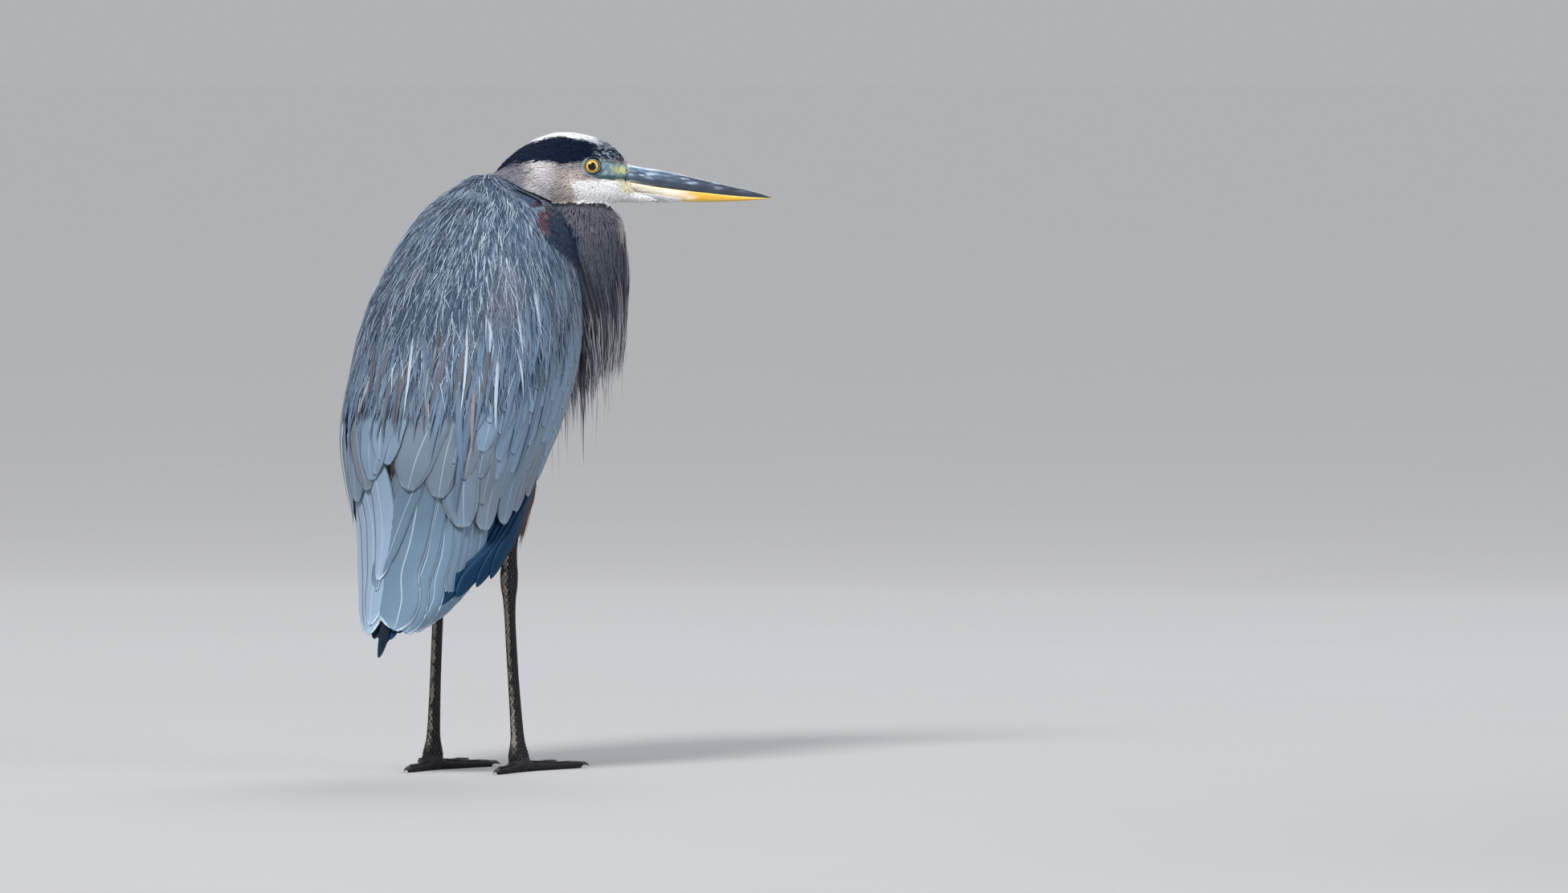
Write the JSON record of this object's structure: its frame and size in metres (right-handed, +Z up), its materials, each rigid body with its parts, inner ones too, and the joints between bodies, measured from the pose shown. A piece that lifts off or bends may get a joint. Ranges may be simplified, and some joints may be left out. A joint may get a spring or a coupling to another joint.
{
  "type": "great blue heron",
  "caption": "Life-size standing wading bird at rest, hunched, with its neck folded on the breast, folded wings, long legs, long toes and a dagger bill turned to its right.",
  "frame": {"origin": "on the floor, at the middle of the bounding box seen from above", "axes": "+Z up, +X the way the breast faces, +Y the bird's left; the head is turned 52 degrees to the bird's right"},
  "size_m": [0.3522, 0.3226, 0.6182],
  "materials": {
    "head_feathers": "soft white and blue-black head feathers",
    "neck_feathers": "fine hair-like brownish grey feathers",
    "body_feathers": "blue-grey body feathers and long narrow plumes",
    "wing_feathers": "overlapping blue-grey vaned feathers with paler edges",
    "primary_feathers": "dark slate-blue flight feathers",
    "thigh_feathers": "short chestnut feathers",
    "upper_bill": "smooth slate horn",
    "lower_bill": "smooth yellow horn",
    "eyes": "wet, glossy, yellow iris with a black pupil",
    "leg_scales": "dark scaly skin",
    "claws": "black horn"
  },
  "bodies": {
    "root": {"head": "head_feathers", "bill_upper": "upper_bill", "bill_lower": "lower_bill", "neck_upper": "neck_feathers", "neck_lower": "neck_feathers", "trunk": "body_feathers", "mantle": "body_feathers", "tail": "body_feathers", "eye_left": "eyes", "wing_left": "wing_feathers", "secondaries_left": "wing_feathers", "primaries_left": "primary_feathers", "thigh_left": "thigh_feathers", "leg_left": "leg_scales", "foot_left": "leg_scales", "claw_inner_left": "claws", "claw_middle_left": "claws", "claw_outer_left": "claws", "claw_hind_left": "claws", "eye_right": "eyes", "wing_right": "wing_feathers", "secondaries_right": "wing_feathers", "primaries_right": "primary_feathers", "thigh_right": "thigh_feathers", "leg_right": "leg_scales", "foot_right": "leg_scales", "claw_inner_right": "claws", "claw_middle_right": "claws", "claw_outer_right": "claws", "claw_hind_right": "claws"}
  },
  "joints": []
}
